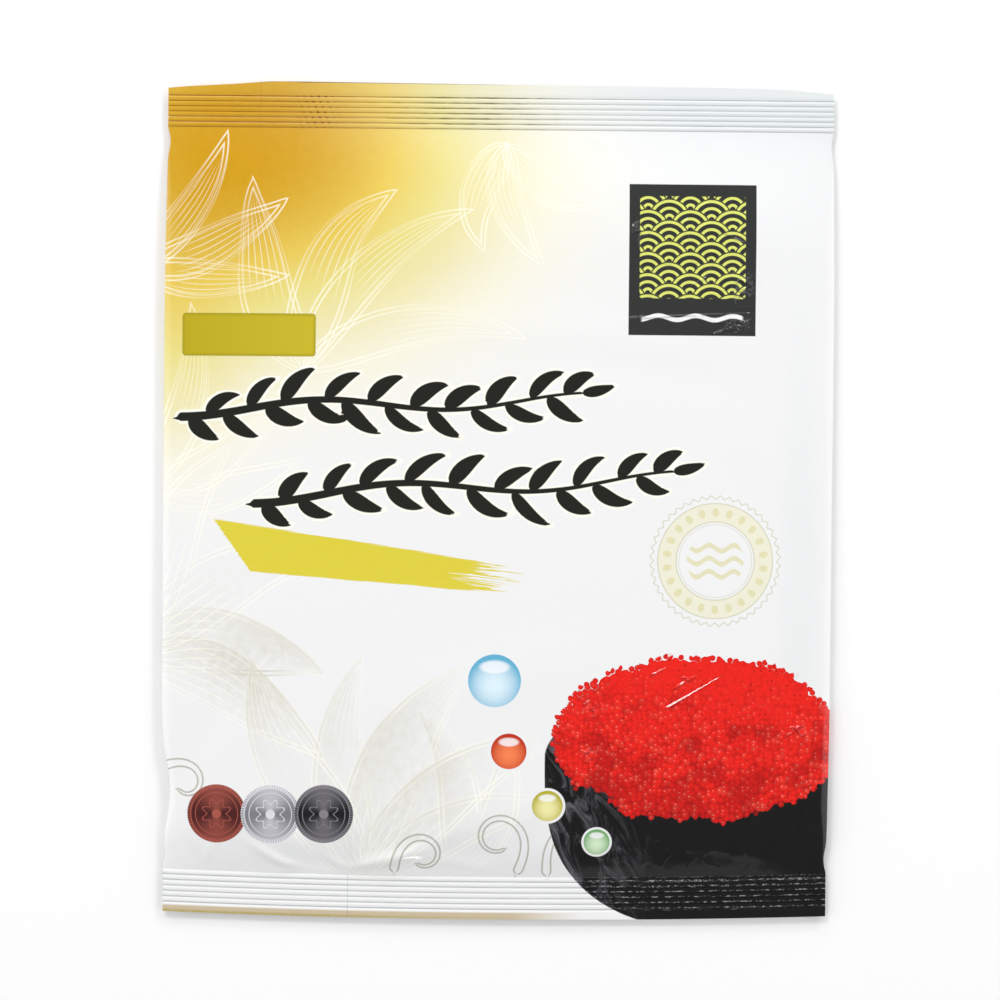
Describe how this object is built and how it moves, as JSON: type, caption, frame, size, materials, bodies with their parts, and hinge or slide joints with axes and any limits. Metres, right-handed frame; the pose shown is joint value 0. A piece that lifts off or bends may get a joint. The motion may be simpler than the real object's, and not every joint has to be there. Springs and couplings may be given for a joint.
{
  "type": "sealed packet of nori sheets",
  "caption": "Flat sealed film pouch of nori for rolling sushi: ribbed seals at both ends, a folded fin seam down the back, a stack of thin sheets and a drying sachet inside.",
  "frame": {"origin": "middle of the packet's outline, on the surface that its back lies on", "axes": "+X to the right across the printed face, +Y towards the narrower ribbed seal at the top of the print, +Z out of the printed face"},
  "size_m": [0.2262, 0.283, 0.007],
  "materials": {
    "printed_film": "glossy printed laminate film, white with a gold wash, pale line work and a black and red picture",
    "nori": "dark green-black pressed seaweed, fibrous, shinier on one face",
    "sachet_paper": "plain white porous paper, crimped at its edges",
    "silica_gel": "clear to milky glassy beads"
  },
  "bodies": {
    "root": {"film_pouch": "printed_film", "nori_sheet_01": "nori", "nori_sheet_02": "nori", "nori_sheet_03": "nori", "nori_sheet_04": "nori", "nori_sheet_05": "nori", "nori_sheet_06": "nori", "nori_sheet_07": "nori", "nori_sheet_08": "nori", "nori_sheet_09": "nori", "nori_sheet_10": "nori", "sachet_paper": "sachet_paper", "silica_gel_beads": "silica_gel"}
  },
  "joints": []
}
